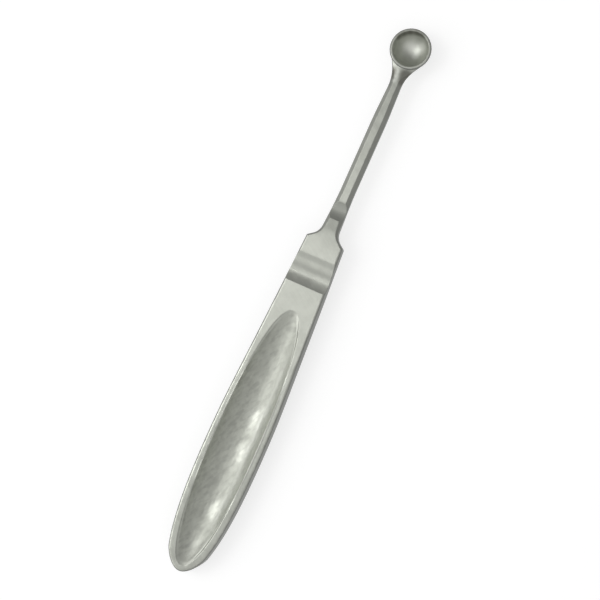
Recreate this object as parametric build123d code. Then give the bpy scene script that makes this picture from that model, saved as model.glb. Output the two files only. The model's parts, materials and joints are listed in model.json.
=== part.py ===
from build123d import *
import os
from math import atan, cos, radians, sin, sqrt, tan

# Bone curette, forged in one piece from steel bar, lying on the flat back of its handle.
# The cup points along +X, the open side of the cup and of the thumb hollow faces +Z.
# A station is a distance from the butt of the handle along the tool, in millimetres.

# Handle seen from above
handle_length = 103.4
butt_width = 11.5
butt_length = 5.6
butt_slope = 16.0
belly_width = 17.15
belly_from_butt = 38.0
shoulder_width = 11.4
shoulder_taper = 2.6
shoulder_slope = 36.0
shoulder_corner_radius = 0.85

# Handle seen from the side
handle_thickness = 6.3
back_flat_length = 76.0
edge_radius = 0.75

# Neck and shank
neck_root_width = 5.25
neck_fillet_radius = 4.0
neck_drop = 0.7
ramp_before_shoulder = 2.4
ramp_slope = 6.5
neck_length = 12.4
shank_width = 4.22
shank_length = 24.5
shank_taper_length = 7.0
shank_tip_width = 3.72
shank_thickness = 3.2
shank_blend_radius = 120.0
facet_across = 1.15
facet_down = 0.85
neck_facet_slope = 7.7

# Cup and the flare that carries it
flare_length = 14.43
flare_slope = 32.0
flare_fillet_radius = 13.0
flare_sunk = 0.03
flare_strip_width = 2.0
cup_radius = 6.09
cup_wall = 0.8
cup_rim_over_shank = 0.35
cup_rim_under_centre = 0.48
cup_rim_bevel = 0.35

# Thumb hollow in the handle
hollow_from_butt = 1.7
hollow_before_shoulder = 21.8
hollow_width = 13.2
hollow_depth = 4.0
hollow_widest_from_butt = 37.0
hollow_lower_slope = 24.0
hollow_upper_slope = 27.0
hollow_rim_rounding = 0.3

# Grooves ground across the top: where, how long a chord and how deep
thumb_groove_before_shoulder = 10.8
thumb_groove_chord = 6.7
thumb_groove_depth = 0.75
shallow_groove_before_shoulder = 9.45
shallow_groove_chord = 9.0
shallow_groove_depth = 0.42
neck_groove_after_shoulder = 9.8
neck_groove_chord = 5.0
neck_groove_depth = 0.75

# How full each curve is: the pull at its two ends, as shares of its reach
butt_pulls = (0.5, 0.23)
lower_side_pulls = (0.24, 0.43)
upper_side_pulls = (0.26, 0.74)
even_pulls = (0.5, 0.5)
ramp_pulls = (0.33, 0.33)
hollow_lower_pulls = (0.2, 0.5)
hollow_upper_pulls = (0.18, 0.22)

# Heights and stations that follow from the sizes above
neck_top = handle_thickness - neck_drop
neck_bottom = neck_top - shank_thickness
ramp_start = handle_length - ramp_before_shoulder
neck_root = handle_length + (shoulder_width - neck_root_width) / 2 * tan(radians(shoulder_slope))
shank_start = neck_root + neck_length
neck_groove = handle_length + neck_groove_after_shoulder
taper_start = shank_start + shank_length
flare_start = taper_start + shank_taper_length
cup_station = flare_start + flare_length
cup_centre_height = neck_top + cup_rim_over_shank + cup_rim_under_centre
tip_slope = (shank_width - shank_tip_width) / 2 / shank_taper_length
neck_slope = (neck_root_width - shank_width) / 2 / neck_length
neck_groove_side = shank_width / 2 + (shank_start - neck_groove) * neck_slope
hollow_axis_height = ((hollow_width / 2) ** 2 - hollow_depth**2) / (2 * hollow_depth)
margin = 1.0
shortest_rim = 0.1


def mirrored(shapes):
    """The same shapes on the other side of the middle line."""
    return [shape.mirror(Plane.XZ) for shape in shapes]


def shank_side():
    """Corners of the side of neck and shank, from the neck root to the start of the flare."""
    return [
        (neck_root, neck_root_width / 2),
        (shank_start, shank_width / 2),
        (taper_start, shank_width / 2),
        (flare_start, shank_tip_width / 2),
    ]


def bow(start, start_slope, end, end_slope, pulls):
    """Smooth curve with a slope in degrees and a pull at each end."""
    start = Vector(*start)
    end = Vector(*end)
    reach = max(abs(end.X - start.X), abs(end.Y - start.Y))
    first = Vector(cos(radians(start_slope)), sin(radians(start_slope))) * reach * pulls[0]
    last = Vector(cos(radians(end_slope)), sin(radians(end_slope))) * reach * pulls[1]
    return Bezier(start, start + first, end - last, end)


def bar_outline():
    """Handle, neck and shank seen from above."""
    butt_corner = (butt_length, butt_width / 2)
    belly = (belly_from_butt, belly_width / 2)
    shoulder = (handle_length, shoulder_width / 2)
    radii = (neck_fillet_radius, shank_blend_radius, shank_blend_radius)
    shank = FilletPolyline(shoulder, *shank_side(), radius=radii)
    half = [
        bow((0, 0), 90, butt_corner, butt_slope, butt_pulls),
        bow(butt_corner, butt_slope, belly, 0, lower_side_pulls),
        bow(belly, 0, shoulder, -shoulder_taper, upper_side_pulls),
        *shank.edges(),
    ]
    end = Line(shank @ 1, (flare_start, -shank_tip_width / 2))
    return make_face(Wire([*half, end, *mirrored(half)]))


def slab(outline):
    """Solid with an outline given in the side view, wider than the handle."""
    return extrude(Plane.XZ.offset(-belly_width) * outline, amount=belly_width * 2)


def back_cutter():
    """What is ground off the back, from the flat of the handle up to the thin shank."""
    level = (flare_start + margin, neck_bottom)
    rise = bow((back_flat_length, 0), 0, (shank_start, neck_bottom), 0, even_pulls)
    below = Polyline(
        level,
        (flare_start + margin, -margin),
        (back_flat_length, -margin),
        (back_flat_length, 0),
    )
    return slab(make_face(Wire([rise, Line(rise @ 1, level), *below.edges()])))


def face_cutter():
    """What is ground off the face, a ramp over the shoulder and all above neck and shank."""
    level = (flare_start + margin, neck_top)
    ramp_end = (neck_groove, neck_top)
    ramp = bow((ramp_start, handle_thickness), 0, ramp_end, -ramp_slope, ramp_pulls)
    above = Polyline(
        level,
        (flare_start + margin, handle_thickness + margin),
        (ramp_start, handle_thickness + margin),
        (ramp_start, handle_thickness),
    )
    return slab(make_face(Wire([ramp, Line(ramp_end, level), *above.edges()])))


def is_long_rim(edge):
    """True for an edge that runs along the face or the back, false across or up the side."""
    size = edge.bounding_box().size
    return size.X > size.Z and size.X > shortest_rim


def forged_bar():
    """Handle, neck and shank with rounded corners and rounded long edges."""
    bar = extrude(bar_outline(), amount=handle_thickness)
    shoulder_corners = [
        edge
        for edge in bar.edges().filter_by(Axis.Z)
        if abs(edge.center().X - handle_length) < margin / 2
    ]
    bar = fillet(shoulder_corners, shoulder_corner_radius) - back_cutter()
    bar = fillet([edge for edge in bar.edges() if is_long_rim(edge)], edge_radius)
    return bar - face_cutter()


def facet_path():
    """Upper edge of neck and shank, falling to the neck groove and level from there on."""
    slope = radians(neck_facet_slope)
    reach = belly_width / 2
    joint = Vector(neck_groove, neck_groove_side, neck_top)
    back = Vector(neck_groove - neck_root, neck_groove_side - neck_root_width / 2, 0)
    heading = back.normalized()
    falling = Plane(
        origin=joint,
        x_dir=heading * cos(slope) - Vector(0, 0, sin(slope)),
        z_dir=heading * sin(slope) + Vector(0, 0, cos(slope)),
    )
    root = back.length / cos(slope)
    turn = radians(shoulder_slope) + atan(neck_slope)
    neck_corners = [(-root - reach * tan(turn), reach), (-root, 0), (0, 0)]
    neck = falling * FilletPolyline(*neck_corners, radius=neck_fillet_radius)
    shank_corners = [
        (neck_groove, neck_groove_side),
        *shank_side()[1:3],
        (flare_start + margin, shank_tip_width / 2 - margin * tip_slope),
    ]
    blends = (shank_blend_radius, shank_blend_radius)
    shank = Pos(0, 0, neck_top) * FilletPolyline(*shank_corners, radius=blends)
    return Wire([*neck.edges(), *shank.edges()]), falling.z_dir


def facet_cutter():
    """Wedge that cuts one upper facet, narrow at the shoulder and even along the shank."""
    path, up = facet_path()
    lean = facet_across / facet_down
    rise = neck_drop + margin
    along = path % 0
    wedge = Polygon(
        (-facet_across - rise * lean, rise),
        (margin, -facet_down - margin / lean),
        (margin, rise),
        align=None,
    )
    across = Plane(origin=path @ 0, x_dir=up.cross(along), z_dir=along)
    return sweep(across * wedge, path=path, transition=Transition.RIGHT)


def facets():
    """The four wedges that leave a flat between two facets on top and below."""
    upper = facet_cutter()
    middle = Plane.XY.offset((neck_top + neck_bottom) / 2)
    lower = mirror(upper, about=middle)
    return [upper, lower, *mirrored([upper, lower])]


def cup_circle_at(height):
    """Radius of the outside of the cup, level with a height."""
    return sqrt(cup_radius**2 - (cup_centre_height - height) ** 2)


def flare_section(height, half_width):
    """Level cut through the flare: a strip that widens until it runs into the cup's wall."""
    lean = radians(flare_slope)
    circle = cup_circle_at(height) - flare_sunk
    gap = flare_length * sin(lean) + half_width * cos(lean) - circle
    turn = gap / (sin(lean) + tip_slope * cos(lean))
    touch = (cup_station - circle * sin(lean), circle * cos(lean))
    side = FilletPolyline(
        (flare_start, half_width),
        (flare_start + turn, half_width - turn * tip_slope),
        touch,
        radius=flare_fillet_radius,
    )
    half = side.edges()
    tip = Line(touch, (touch[0], -touch[1]))
    end = Line((flare_start, half_width), (flare_start, -half_width))
    return Plane.XY.offset(height) * make_face(Wire([*half, tip, *mirrored(half), end]))


def strip_section(height):
    """Level cut through the narrow flat that runs on between the facets into the cup's wall."""
    side = shank_tip_width / 2 - facet_across * sqrt(1 + tip_slope**2)
    middle = flare_start + flare_length / 3
    end = cup_station - sqrt((cup_radius - cup_wall / 2) ** 2 - (cup_centre_height - height) ** 2)
    half = FilletPolyline(
        (flare_start, side),
        (middle, side),
        (end, flare_strip_width / 2),
        radius=flare_fillet_radius,
    )
    tip = Line(half @ 1, (end, -flare_strip_width / 2))
    start = Line((flare_start, side), (flare_start, -side))
    half = half.edges()
    return Plane.XY.offset(height) * make_face(Wire([*half, tip, *mirrored(half), start]))


def flare():
    """The widening end of the shank, with its facets, closing onto the outside of the cup."""
    side = shank_tip_width / 2
    sections = [
        strip_section(neck_bottom),
        flare_section(neck_bottom + facet_down, side),
        flare_section(neck_top - facet_down, side),
        strip_section(neck_top),
    ]
    return loft(sections, ruled=True)


def cup_wall_section():
    """Half of the cup's wall in section, with the bevel that the rim is ground to outside."""
    wall = Circle(cup_radius) - Circle(cup_radius - cup_wall)
    size = cup_radius * 4
    wall -= Pos(0, size / 2 - cup_rim_under_centre) * Rectangle(size, size)
    wall -= Pos(-size / 2, 0) * Rectangle(size, size)
    outer_corner = wall.vertices().filter_by_position(
        Axis.X, cup_radius - cup_wall / 2, cup_radius
    ).sort_by(Axis.Y)[-1]
    return chamfer(outer_corner, cup_rim_bevel)


def cup():
    """Round cup, thin walled, open upward."""
    wall = revolve(Plane.XZ * cup_wall_section(), axis=Axis.Z)
    return Pos(cup_station, 0, cup_centre_height) * wall


def cup_inside():
    """The ball that fits the inside of the cup."""
    return Pos(cup_station, 0, cup_centre_height) * Sphere(cup_radius - cup_wall)


def hollow_cutter():
    """Spindle turned about an axis above the face; what it cuts is the thumb hollow."""
    widest = (hollow_widest_from_butt, hollow_axis_height + hollow_depth)
    lower_end = (hollow_from_butt, hollow_axis_height)
    upper_end = (handle_length - hollow_before_shoulder, hollow_axis_height)
    lower_fall = hollow_axis_height - margin * tan(radians(hollow_lower_slope))
    upper_fall = hollow_axis_height - margin * tan(radians(hollow_upper_slope))
    lower_tip = (lower_end[0] - margin, lower_fall)
    upper_tip = (upper_end[0] + margin, upper_fall)
    half = [
        Line(lower_tip, lower_end),
        bow(lower_end, hollow_lower_slope, widest, 0, hollow_lower_pulls),
        bow(widest, 0, upper_end, -hollow_upper_slope, hollow_upper_pulls),
        Line(upper_end, upper_tip),
        *Polyline(upper_tip, (upper_tip[0], 0), (lower_tip[0], 0), lower_tip).edges(),
    ]
    spindle = revolve(make_face(Wire(half)), axis=Axis.X)
    return Pos(0, 0, handle_thickness + hollow_axis_height) * spindle


def is_hollow_rim(edge):
    """True for an edge where the thumb hollow meets the face of the handle."""
    box = edge.bounding_box()
    inside = hollow_from_butt / 2 < box.min.X and box.max.X < handle_length - hollow_before_shoulder / 2
    on_face = box.min.Z > handle_thickness - shortest_rim
    return inside and on_face and box.size.Y > 0 and abs(edge.center().Y) < hollow_width / 2


def groove_cutter(station, chord, depth, surface):
    """Cylinder across the tool that cuts a groove of one chord and depth into a surface."""
    radius = (chord**2 / 4 + depth**2) / (2 * depth)
    barrel = Cylinder(radius, belly_width * 2, rotation=(90, 0, 0))
    return Pos(station, 0, surface + radius - depth) * barrel


def grooves():
    """The thumb groove below the shoulder, which runs out shallow, and the one on the neck."""
    thumb_groove = groove_cutter(
        handle_length - thumb_groove_before_shoulder,
        thumb_groove_chord,
        thumb_groove_depth,
        handle_thickness,
    )
    shallow_groove = groove_cutter(
        handle_length - shallow_groove_before_shoulder,
        shallow_groove_chord,
        shallow_groove_depth,
        handle_thickness,
    )
    neck_groove_cutter = groove_cutter(
        neck_groove,
        neck_groove_chord,
        neck_groove_depth,
        neck_top,
    )
    return [thumb_groove, shallow_groove, neck_groove_cutter]


def curette():
    """The whole forging, with its hollow and grooves."""
    bar = forged_bar()
    for wedge in facets():
        bar -= wedge
    forging = bar + (flare() - cup_inside()) + cup()
    forging -= hollow_cutter()
    forging = fillet([edge for edge in forging.edges() if is_hollow_rim(edge)], hollow_rim_rounding)
    for groove in grooves():
        forging -= groove
    return forging


tool = curette()
tool = Pos(-tool.bounding_box().center().X, 0, 0) * tool
os.makedirs("parts", exist_ok=True)
export_step(tool, "parts/curette.step")
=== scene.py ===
import json
import math

import bpy
from mathutils import Matrix, Vector

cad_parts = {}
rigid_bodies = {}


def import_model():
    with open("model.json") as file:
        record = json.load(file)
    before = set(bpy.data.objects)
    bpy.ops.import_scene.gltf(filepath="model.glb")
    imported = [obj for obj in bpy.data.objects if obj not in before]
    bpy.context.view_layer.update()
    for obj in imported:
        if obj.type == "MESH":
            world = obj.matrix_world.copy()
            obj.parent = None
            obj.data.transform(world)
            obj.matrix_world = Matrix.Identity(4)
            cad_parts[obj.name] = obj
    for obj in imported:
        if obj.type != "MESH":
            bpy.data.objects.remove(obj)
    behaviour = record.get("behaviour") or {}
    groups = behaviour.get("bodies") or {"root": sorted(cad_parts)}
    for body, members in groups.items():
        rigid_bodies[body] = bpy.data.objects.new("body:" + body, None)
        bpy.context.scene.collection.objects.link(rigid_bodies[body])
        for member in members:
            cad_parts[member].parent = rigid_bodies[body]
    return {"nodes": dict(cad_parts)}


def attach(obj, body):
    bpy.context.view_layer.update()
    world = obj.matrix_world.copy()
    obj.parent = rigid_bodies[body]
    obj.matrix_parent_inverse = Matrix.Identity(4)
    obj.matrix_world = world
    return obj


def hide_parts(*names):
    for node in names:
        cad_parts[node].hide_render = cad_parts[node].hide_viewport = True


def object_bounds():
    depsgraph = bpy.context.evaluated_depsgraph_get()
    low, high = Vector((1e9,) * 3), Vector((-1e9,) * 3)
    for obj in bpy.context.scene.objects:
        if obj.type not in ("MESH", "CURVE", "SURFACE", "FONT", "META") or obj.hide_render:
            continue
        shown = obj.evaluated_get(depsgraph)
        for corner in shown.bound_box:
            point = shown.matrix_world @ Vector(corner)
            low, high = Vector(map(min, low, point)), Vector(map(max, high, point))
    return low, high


# Bone curette of satin steel, lying on its back on a white floor. All sizes are in metres.

bpy.ops.object.select_all(action="SELECT")  # the start-up objects aren't wanted
bpy.ops.object.delete()

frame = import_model()
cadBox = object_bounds()
cadNode = frame["nodes"]["curette"]
print("frame loaded:", len(frame["nodes"]), "node")


class Signal:
    # one socket of a node tree; Python's operators on it add Math nodes

    def __init__(self, tree, socket=None):
        self.tree = tree
        self.socket = socket

    def node(self, kind, settings=None, sockets=None, output=0):
        made = self.tree.nodes.new(kind)
        for name, value in (settings or {}).items():
            setattr(made, name, value)
        for name, value in (sockets or {}).items():
            if isinstance(value, Signal):
                self.tree.links.new(value.socket, made.inputs[name])
            else:
                made.inputs[name].default_value = value
        return Signal(self.tree, made.outputs[output]) if len(made.outputs) else None

    def math(self, operation, *terms):
        return self.node("ShaderNodeMath", {"operation": operation}, dict(enumerate(terms)))

    def __add__(self, other):
        return self.math("ADD", self, other)

    def __radd__(self, other):
        return self.math("ADD", other, self)

    def __sub__(self, other):
        return self.math("SUBTRACT", self, other)

    def __rsub__(self, other):
        return self.math("SUBTRACT", other, self)

    def __mul__(self, other):
        return self.math("MULTIPLY", self, other)

    def __rmul__(self, other):
        return self.math("MULTIPLY", other, self)

    def size(self):
        return self.math("ABSOLUTE", self)

    def ease(self, low, high):  # 0 below low, 1 above high, smooth between
        return self.node(
            "ShaderNodeMapRange",
            {"interpolation_type": "SMOOTHSTEP"},
            {"Value": self, "From Min": low, "From Max": high},
        )

    def within(self, low, high, edge):  # 1 from low to high, fading to 0 over the edge
        return self.ease(low - edge, low) * (1 - self.ease(high, high + edge))


# camera

photoView = {
    "lens": 87.6,
    "sensor": 36.0,
    "nearest": 0.01,
    "distance": 0.42,
    "target": (0.0002, -0.0002, 0.005),
    "leanAcross": 9.0,  # degrees, towards the tool's right side
    "turn": 66.0,  # degrees, from the picture's level to the tool's length
}


def addCamera(view):
    lean = math.radians(view["leanAcross"])
    turn = math.radians(view["turn"])
    along = Vector((1, 0, 0))
    back = Vector((0, -math.sin(lean), math.cos(lean)))
    across = Vector((0, -math.cos(lean), -math.sin(lean)))
    right = math.cos(turn) * along + math.sin(turn) * across
    up = math.sin(turn) * along - math.cos(turn) * across
    bpy.ops.object.camera_add(location=Vector(view["target"]) + view["distance"] * back)
    camera = bpy.context.object
    camera.name = "photoCamera"
    camera.rotation_euler = Matrix((right, up, back)).transposed().to_euler()
    camera.data.lens = view["lens"]
    camera.data.sensor_width = view["sensor"]
    camera.data.clip_start = view["nearest"]
    bpy.context.scene.camera = camera


addCamera(photoView)
print("camera placed")

# steel

steelLook = {
    "paleTone": (0.55, 0.565, 0.51, 1),
    "deepTone": (0.46, 0.472, 0.425, 1),
    "roughness": 0.31,
    "mottle": {"size": 0.0035, "detail": 4.0, "spread": (0.32, 0.68), "share": 0.7},
    "mottleRoughness": 0.1,
    "strokes": {
        "pitch": 0.0006,
        "length": 0.009,
        "detail": 3.0,
        "spread": (0.3, 0.7),
        "share": 0.3,
    },
    "strokeRoughness": 0.1,
    "strokeTurn": 35.0,  # degrees from straight across the tool
    "edgeRadius": 0.0002,
    "edgeSamples": 6,
    "paintedShadeTone": (0.235, 0.24, 0.222, 1),  # painted shade on the upright sides and rounded edges, darker than the flat faces
    "sideRoughness": 0.18,  # this and the next are added to the steel's own
    "bandRoughness": 0.2,
    "flatness": (0.68, 0.98),  # upward part of the normal, from upright side to flat face
    "bandShadeTone": (0.37, 0.38, 0.345, 1),  # painted shade in bands across the top
    "shadeBands": [(0.0093, 0.0097, 0.55), (0.0122, 0.0127, 0.6), (0.0262, 0.0303, 1.0)],
    "bandFade": 0.0011,
    "bandHeight": (0.0034, 0.0038),
    # The next three groups are painted light, painted shade and painted highlights in place of the
    # reflections that the photo shows on the flare and in the cup, so they stay where they are
    # under other light.
    "panelAlong": (0.0672, 0.0716),  # painted shade on a panel of the flare, beside its bright strip
    "panelAcross": (0.0015, 0.0026),
    "panelFade": 0.0007,
    "panelStrength": 0.75,
    "glintTone": (0.8, 0.815, 0.76, 1),  # painted highlights, bright patches
    "glints": [  # middle and reach of each painted highlight
        (0.0690, 0.0006, 0.0056, 0.0011),
        (0.0703, 0.0008, 0.0056, 0.0012),
        (0.0716, 0.0010, 0.0057, 0.0012),
        (0.0808, 0.0010, 0.0018, 0.0036),
        (0.0812, -0.0022, 0.0024, 0.0026),
        (0.0784, -0.0015, 0.0014, 0.0018),
    ],
    "glintCore": 0.15,  # share of the reach that is fully bright
    "glintStrength": 0.6,
    "cupShadeTone": (0.12, 0.115, 0.095, 1),  # painted shade, dark patches round the cup and inside it
    "cupShadePoints": [
        (0.0694, -0.0015, 0.0051),
        (0.0706, -0.0013, 0.0054),
        (0.0718, -0.0011, 0.0054),
        (0.0719, -0.0022, 0.0052),
        (0.0714, 0.0022, 0.0052),
        (0.0700, 0.0020, 0.0052),
        (0.0810, 0.0043, 0.0053),
        (0.0824, 0.0035, 0.0050),
        (0.0834, 0.0021, 0.0050),
        (0.0838, 0.0003, 0.0051),
        (0.0835, -0.0013, 0.0054),
    ],
    "cupShadeSize": (0.0003, 0.0019),
    "cupShadeStrength": 0.7,
}
hollowLook = {
    "middle": -0.0434,  # along the tool
    "reach": (0.0402, 0.0071),
    "core": 0.92,  # where the oval starts to fade, as a share of its squared reach
    "rim": (1.02, 1.1),  # the rim lies this much further out
    "depth": (0.0012, 0.0066),
    "depthFade": 0.0002,
    "roughness": 0.22,  # added to the steel's own
    "glintSide": (-0.0066, -0.0042),  # painted highlight: a paler band along one side of the hollow
    "glintSideFade": 0.0016,
    "glintSideStrength": 0.5,
    "wavePitch": (0.017, 0.006, 0.006),
    "waveDetail": 1.0,
    "waveDepth": 0.00025,
    "brushPitch": (0.006, 0.0011, 0.0011),
    "brushDetail": 3.0,
    "brushDepth": 0.00007,
    # smoother places, where the photo has highlights
    "spots": [(-0.0365, -0.0026), (-0.0474, -0.0029), (-0.0653, -0.0026), (-0.0772, -0.0018)],
    "spotHeight": 0.0029,
    "spotSize": (0.0006, 0.0052),
    "spotRoughness": -0.17,
    "spotRagged": {"pitch": 0.0018, "detail": 3.0, "reach": 0.006},
    "cloudTone": (0.37, 0.378, 0.342, 1),
    "cloudPitch": (0.00275, 0.0011, 0.0011),
    "cloudDetail": 4.0,
    "cloudTurn": 30.0,  # degrees
    "cloudSpread": (0.42, 0.68),
    "cloudStrength": 0.6,
}
cupLook = {
    "beforeTip": 0.00603,  # from the cup's middle to the end of the tool
    "height": 0.00643,
    "inside": (0.00532, 0.0055),  # radius of the inner wall, fading out in the rim
    "roughness": 0.12,  # added to the steel's own
}


def satinSteel(look, hollow, cup):
    steel = bpy.data.materials.new("satinSteel")
    steel.use_nodes = True
    tree = steel.node_tree
    tree.nodes.clear()
    bench = Signal(tree)
    place = bench.node("ShaderNodeTexCoord", output="Object")
    rounded = bench.node(
        "ShaderNodeBevel", {"samples": look["edgeSamples"]}, {"Radius": look["edgeRadius"]}
    )

    def part(vector, axis):
        return bench.node("ShaderNodeSeparateXYZ", sockets={"Vector": vector}, output=axis)

    def clouds(sizes, detail, turn=0.0):
        turned = bench.node(
            "ShaderNodeMapping", sockets={"Vector": place, "Rotation": (0, 0, math.radians(turn))}
        )
        spread = bench.node(
            "ShaderNodeMapping",
            sockets={"Vector": turned, "Scale": tuple(1 / size for size in sizes)},
        )
        return bench.node(
            "ShaderNodeTexNoise", sockets={"Vector": spread, "Scale": 1.0, "Detail": detail}
        )

    def distance(middle):
        return bench.node(
            "ShaderNodeVectorMath", {"operation": "DISTANCE"}, {0: place, 1: middle}, "Value"
        )

    def blend(share, first, second):  # 6, 7 and 2 are the Mix node's colours
        return bench.node(
            "ShaderNodeMix", {"data_type": "RGBA"}, {0: share, 6: first, 7: second}, output=2
        )

    along = part(place, "X")
    across = part(place, "Y")
    height = part(place, "Z")
    # upright sides and rounded edges, which get painted shade
    side = 1 - part(rounded, "Z").size().ease(*look["flatness"])

    # the thumb hollow: an oval in plan, below the face and above the back
    def oval(growth):
        alongShare = (along - hollow["middle"]) * (1 / hollow["reach"][0] / growth[0])
        acrossShare = across * (1 / hollow["reach"][1] / growth[1])
        return 1 - (alongShare * alongShare + acrossShare * acrossShare).ease(hollow["core"], 1.0)

    inside = height.within(*hollow["depth"], hollow["depthFade"])
    inHollow = oval((1, 1)) * inside
    sheltered = oval(hollow["rim"]) * inside
    inCup = 1 - distance((cadBox[1].x - cup["beforeTip"], 0.0, cup["height"])).ease(*cup["inside"])

    # where the finish changes, and where shade and highlights are painted
    ragged = hollow["spotRagged"]
    astray = (clouds((ragged["pitch"],) * 3, ragged["detail"]) - 0.5) * ragged["reach"]
    spots = 0.0
    for spotX, spotY in hollow["spots"]:
        apart = distance((spotX, spotY, hollow["spotHeight"])) + astray
        spots = spots + (1 - apart.ease(*hollow["spotSize"]))
    # painted shade in bands across the top
    bands = 0.0
    for start, end, strength in look["shadeBands"]:
        bands = bands + along.within(start, end, look["bandFade"]) * strength
    bandShade = bands * height.ease(*look["bandHeight"]) * (1 - side)
    # painted shade on a panel of the flare
    panel = (
        along.within(*look["panelAlong"], look["panelFade"])
        * across.within(*look["panelAcross"], look["panelFade"])
        * look["panelStrength"]
    )
    # painted shade round the cup and inside it
    cupUnshaded = 1.0
    for middle in look["cupShadePoints"]:
        cupUnshaded = distance(middle).ease(*look["cupShadeSize"]) * cupUnshaded
    cupShadeShare = (1 - cupUnshaded) * look["cupShadeStrength"]
    # painted highlights on the flare's strip and in the cup
    unglinted = 1.0
    for *middle, reach in look["glints"]:
        unglinted = distance(middle).ease(reach * look["glintCore"], reach) * unglinted
    # painted highlight along one side of the hollow
    glintSideShare = across.within(*hollow["glintSide"], hollow["glintSideFade"]) * inHollow
    glints = (1 - unglinted) * look["glintStrength"] + glintSideShare * hollow["glintSideStrength"]

    # mottling and strokes all over, clouds in the hollow
    mottling = look["mottle"]
    mottle = clouds((mottling["size"],) * 3, mottling["detail"])
    stroking = look["strokes"]
    strokes = clouds(
        (stroking["pitch"], stroking["length"], stroking["pitch"]),
        stroking["detail"],
        look["strokeTurn"],
    )
    patches = (
        mottle.ease(*mottling["spread"]) * mottling["share"]
        + strokes.ease(*stroking["spread"]) * stroking["share"]
    )
    cloudy = clouds(hollow["cloudPitch"], hollow["cloudDetail"], hollow["cloudTurn"])
    cloudShare = inHollow * cloudy.ease(*hollow["cloudSpread"]) * hollow["cloudStrength"]

    # colour, each layer over the last
    polished = blend(patches, look["deepTone"], look["paleTone"])
    clouded = blend(cloudShare, polished, hollow["cloudTone"])
    # painted shade in bands across the top
    bandShaded = blend(bandShade, clouded, look["bandShadeTone"])
    # painted shade on the upright sides and rounded edges
    sided = blend(side * (1 - sheltered) * (1 - inCup), bandShaded, look["paintedShadeTone"])
    # painted shade on the flare's panel
    shaded = blend(panel, sided, look["paintedShadeTone"])
    # painted highlights
    glinted = blend(glints, shaded, look["glintTone"])
    # painted shade round the cup and inside it
    tone = blend(cupShadeShare, glinted, look["cupShadeTone"])

    dullness = (
        look["roughness"]
        + side * (1 - sheltered) * look["sideRoughness"]
        + bandShade * look["bandRoughness"]
        + (mottle - 0.5) * look["mottleRoughness"]
        + (strokes - 0.5) * look["strokeRoughness"]
        + inHollow * (hollow["roughness"] + spots * hollow["spotRoughness"])
        + inCup * cup["roughness"]
    )
    waves = clouds(hollow["wavePitch"], hollow["waveDetail"]) * hollow["waveDepth"]
    brushed = clouds(hollow["brushPitch"], hollow["brushDetail"]) * hollow["brushDepth"]
    relief = (waves + brushed) * inHollow
    grain = bench.node(
        "ShaderNodeBump",
        sockets={"Height": relief, "Distance": 1.0, "Strength": 1.0, "Normal": rounded},
    )
    surface = bench.node(
        "ShaderNodeBsdfPrincipled",
        sockets={"Base Color": tone, "Metallic": 1.0, "Roughness": dullness, "Normal": grain},
    )
    bench.node("ShaderNodeOutputMaterial", sockets={"Surface": surface})
    return steel


# forging

forgingLook = {
    "slot": "satin_steel",
    "mergeWithin": 1e-7,
    "smoothAngle": 16.0,  # degrees; steeper edges stay sharp
    "faceWeight": 100,
}


def addForging(node, look, steel):
    forging = bpy.data.objects.new("forging", node.data.copy())
    bpy.context.collection.objects.link(forging)
    bpy.ops.object.select_all(action="DESELECT")
    forging.select_set(True)
    bpy.context.view_layer.objects.active = forging
    bpy.ops.mesh.customdata_custom_splitnormals_clear()
    bpy.ops.object.mode_set(mode="EDIT")
    bpy.ops.mesh.select_all(action="SELECT")
    bpy.ops.mesh.remove_doubles(threshold=look["mergeWithin"])  # it comes as loose triangles
    bpy.ops.object.mode_set(mode="OBJECT")
    bpy.ops.object.shade_smooth_by_angle(angle=math.radians(look["smoothAngle"]))
    bpy.ops.object.modifier_add(type="WEIGHTED_NORMAL")
    weighted = forging.modifiers[-1]
    weighted.keep_sharp = True
    weighted.weight = look["faceWeight"]
    bpy.ops.object.modifier_apply(modifier=weighted.name)
    forging.data.materials.clear()
    forging.data.materials.append(steel)
    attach(forging, "root")
    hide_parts("curette")
    return forging


forging = addForging(cadNode, forgingLook, satinSteel(steelLook, hollowLook, cupLook))
print("forging finished:", len(forging.data.polygons), "faces")

# floor

floorLook = {
    "size": 8.0,
    "colour": (0.45, 0.45, 0.45, 1),
    "glow": 0.66,  # only what is seen, so that the floor is white and keeps its shadow
}


def addFloor(look):
    bpy.ops.mesh.primitive_plane_add(size=look["size"], location=(0, 0, 0))
    floor = bpy.context.object
    floor.name = "floor"
    paper = bpy.data.materials.new("whitePaper")
    paper.use_nodes = True
    paper.node_tree.nodes.clear()
    bench = Signal(paper.node_tree)
    seen = 0.0
    for ray in ("Is Camera Ray", "Is Glossy Ray", "Is Transmission Ray"):
        seen = seen + bench.node("ShaderNodeLightPath", output=ray)
    matte = bench.node("ShaderNodeBsdfDiffuse", sockets={"Color": look["colour"]})
    glow = bench.node("ShaderNodeEmission", sockets={"Strength": seen * look["glow"]})
    both = bench.node("ShaderNodeAddShader", sockets={0: matte, 1: glow})
    bench.node("ShaderNodeOutputMaterial", sockets={"Surface": both})
    floor.data.materials.append(paper)


addFloor(floorLook)
print("floor laid")

# light

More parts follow.
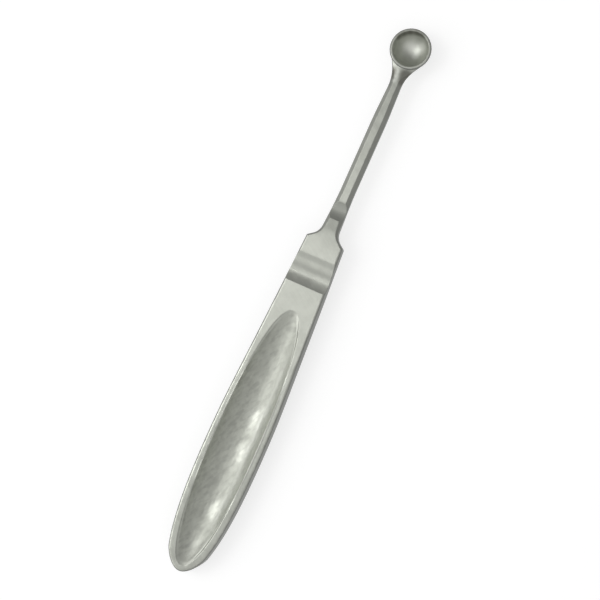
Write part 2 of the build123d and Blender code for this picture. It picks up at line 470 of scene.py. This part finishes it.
roomLight = {
    "horizon": 0.58,
    "buttSide": 0.72,  # the wall beyond the butt is paler than the one beyond the cup
    "cupSide": 0.43,
    "rise": (0.02, 0.2),  # heights on the unit sphere, from the horizon's level to the wall's
    "turn": (-0.2, 0.25),  # places along the tool, from the butt's side to the cup's
}
softboxes = {
    "overheadSoftbox": {"place": (0.06, 0.22, 0.85), "size": (0.13, 0.65), "level": 1.4},
    "sideSoftbox": {"place": (-0.12, 0.64, 0.5), "size": (0.7, 0.54), "level": 1.1},
    "window": {"place": (-0.12, 0.5, 0.7), "size": (0.18, 0.34), "level": 2.8},
    "lowWindow": {"place": (-0.55, 0.5, 0.35), "size": (0.3, 0.3), "level": 1.4},
}


def addRoom(look):
    room = bpy.context.scene.world or bpy.data.worlds.new("room")
    bpy.context.scene.world = room
    room.use_nodes = True
    room.node_tree.nodes.clear()
    bench = Signal(room.node_tree)
    direction = bench.node("ShaderNodeTexCoord", output="Generated")
    height = bench.node("ShaderNodeSeparateXYZ", sockets={"Vector": direction}, output="Z")
    along = bench.node("ShaderNodeSeparateXYZ", sockets={"Vector": direction}, output="X")
    above = look["buttSide"] + along.ease(*look["turn"]) * (look["cupSide"] - look["buttSide"])
    rising = height.ease(*look["rise"])
    level = rising * above + (1 - rising) * look["horizon"]
    wall = bench.node("ShaderNodeBackground", sockets={"Color": (1, 1, 1, 1), "Strength": level})
    bench.node("ShaderNodeOutputWorld", sockets={"Surface": wall})


def addSoftbox(name, look):
    place = Vector(look["place"])
    bpy.ops.object.light_add(type="AREA", location=place)
    lamp = bpy.context.object
    lamp.name = name
    lamp.rotation_euler = place.to_track_quat("Z", "Y").to_euler()  # it faces the tool
    lamp.data.shape = "RECTANGLE"
    lamp.data.size, lamp.data.size_y = look["size"]
    area = look["size"][0] * look["size"][1]
    lamp.data.energy = look["level"] * math.pi * area  # so that the level is what is seen of it


addRoom(roomLight)
for name, look in softboxes.items():
    addSoftbox(name, look)
bpy.context.scene.view_settings.view_transform = "Standard"
print("lights set")
